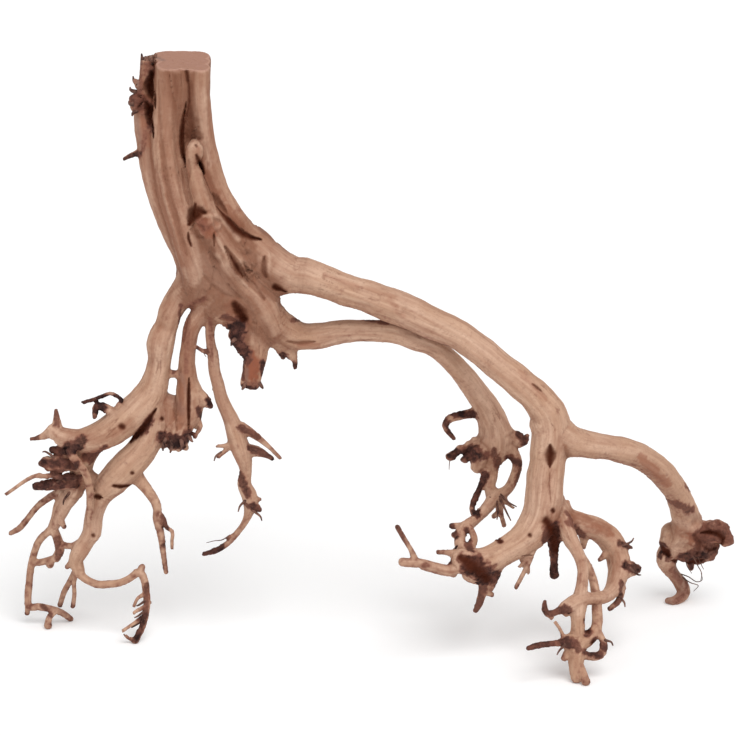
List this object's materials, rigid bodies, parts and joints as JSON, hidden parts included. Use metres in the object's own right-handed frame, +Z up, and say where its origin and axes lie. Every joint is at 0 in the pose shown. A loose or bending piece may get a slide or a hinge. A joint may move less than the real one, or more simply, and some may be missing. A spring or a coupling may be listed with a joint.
{
  "type": "aquarium root wood",
  "caption": "Sawn-off foot of a small tree with a leaning trunk, spreading forked roots and side branches, used as decoration in an aquarium.",
  "frame": {"origin": "on the surface the wood stands on, under the middle of its outline", "axes": "+X along the spread of the roots, towards the long right arm; +Y to the back; +Z up"},
  "size_m": [0.3728, 0.1212, 0.3011],
  "materials": {
    "wood": "matte, bare and weathered"
  },
  "bodies": {
    "root": {"root_wood": "wood"}
  },
  "joints": []
}
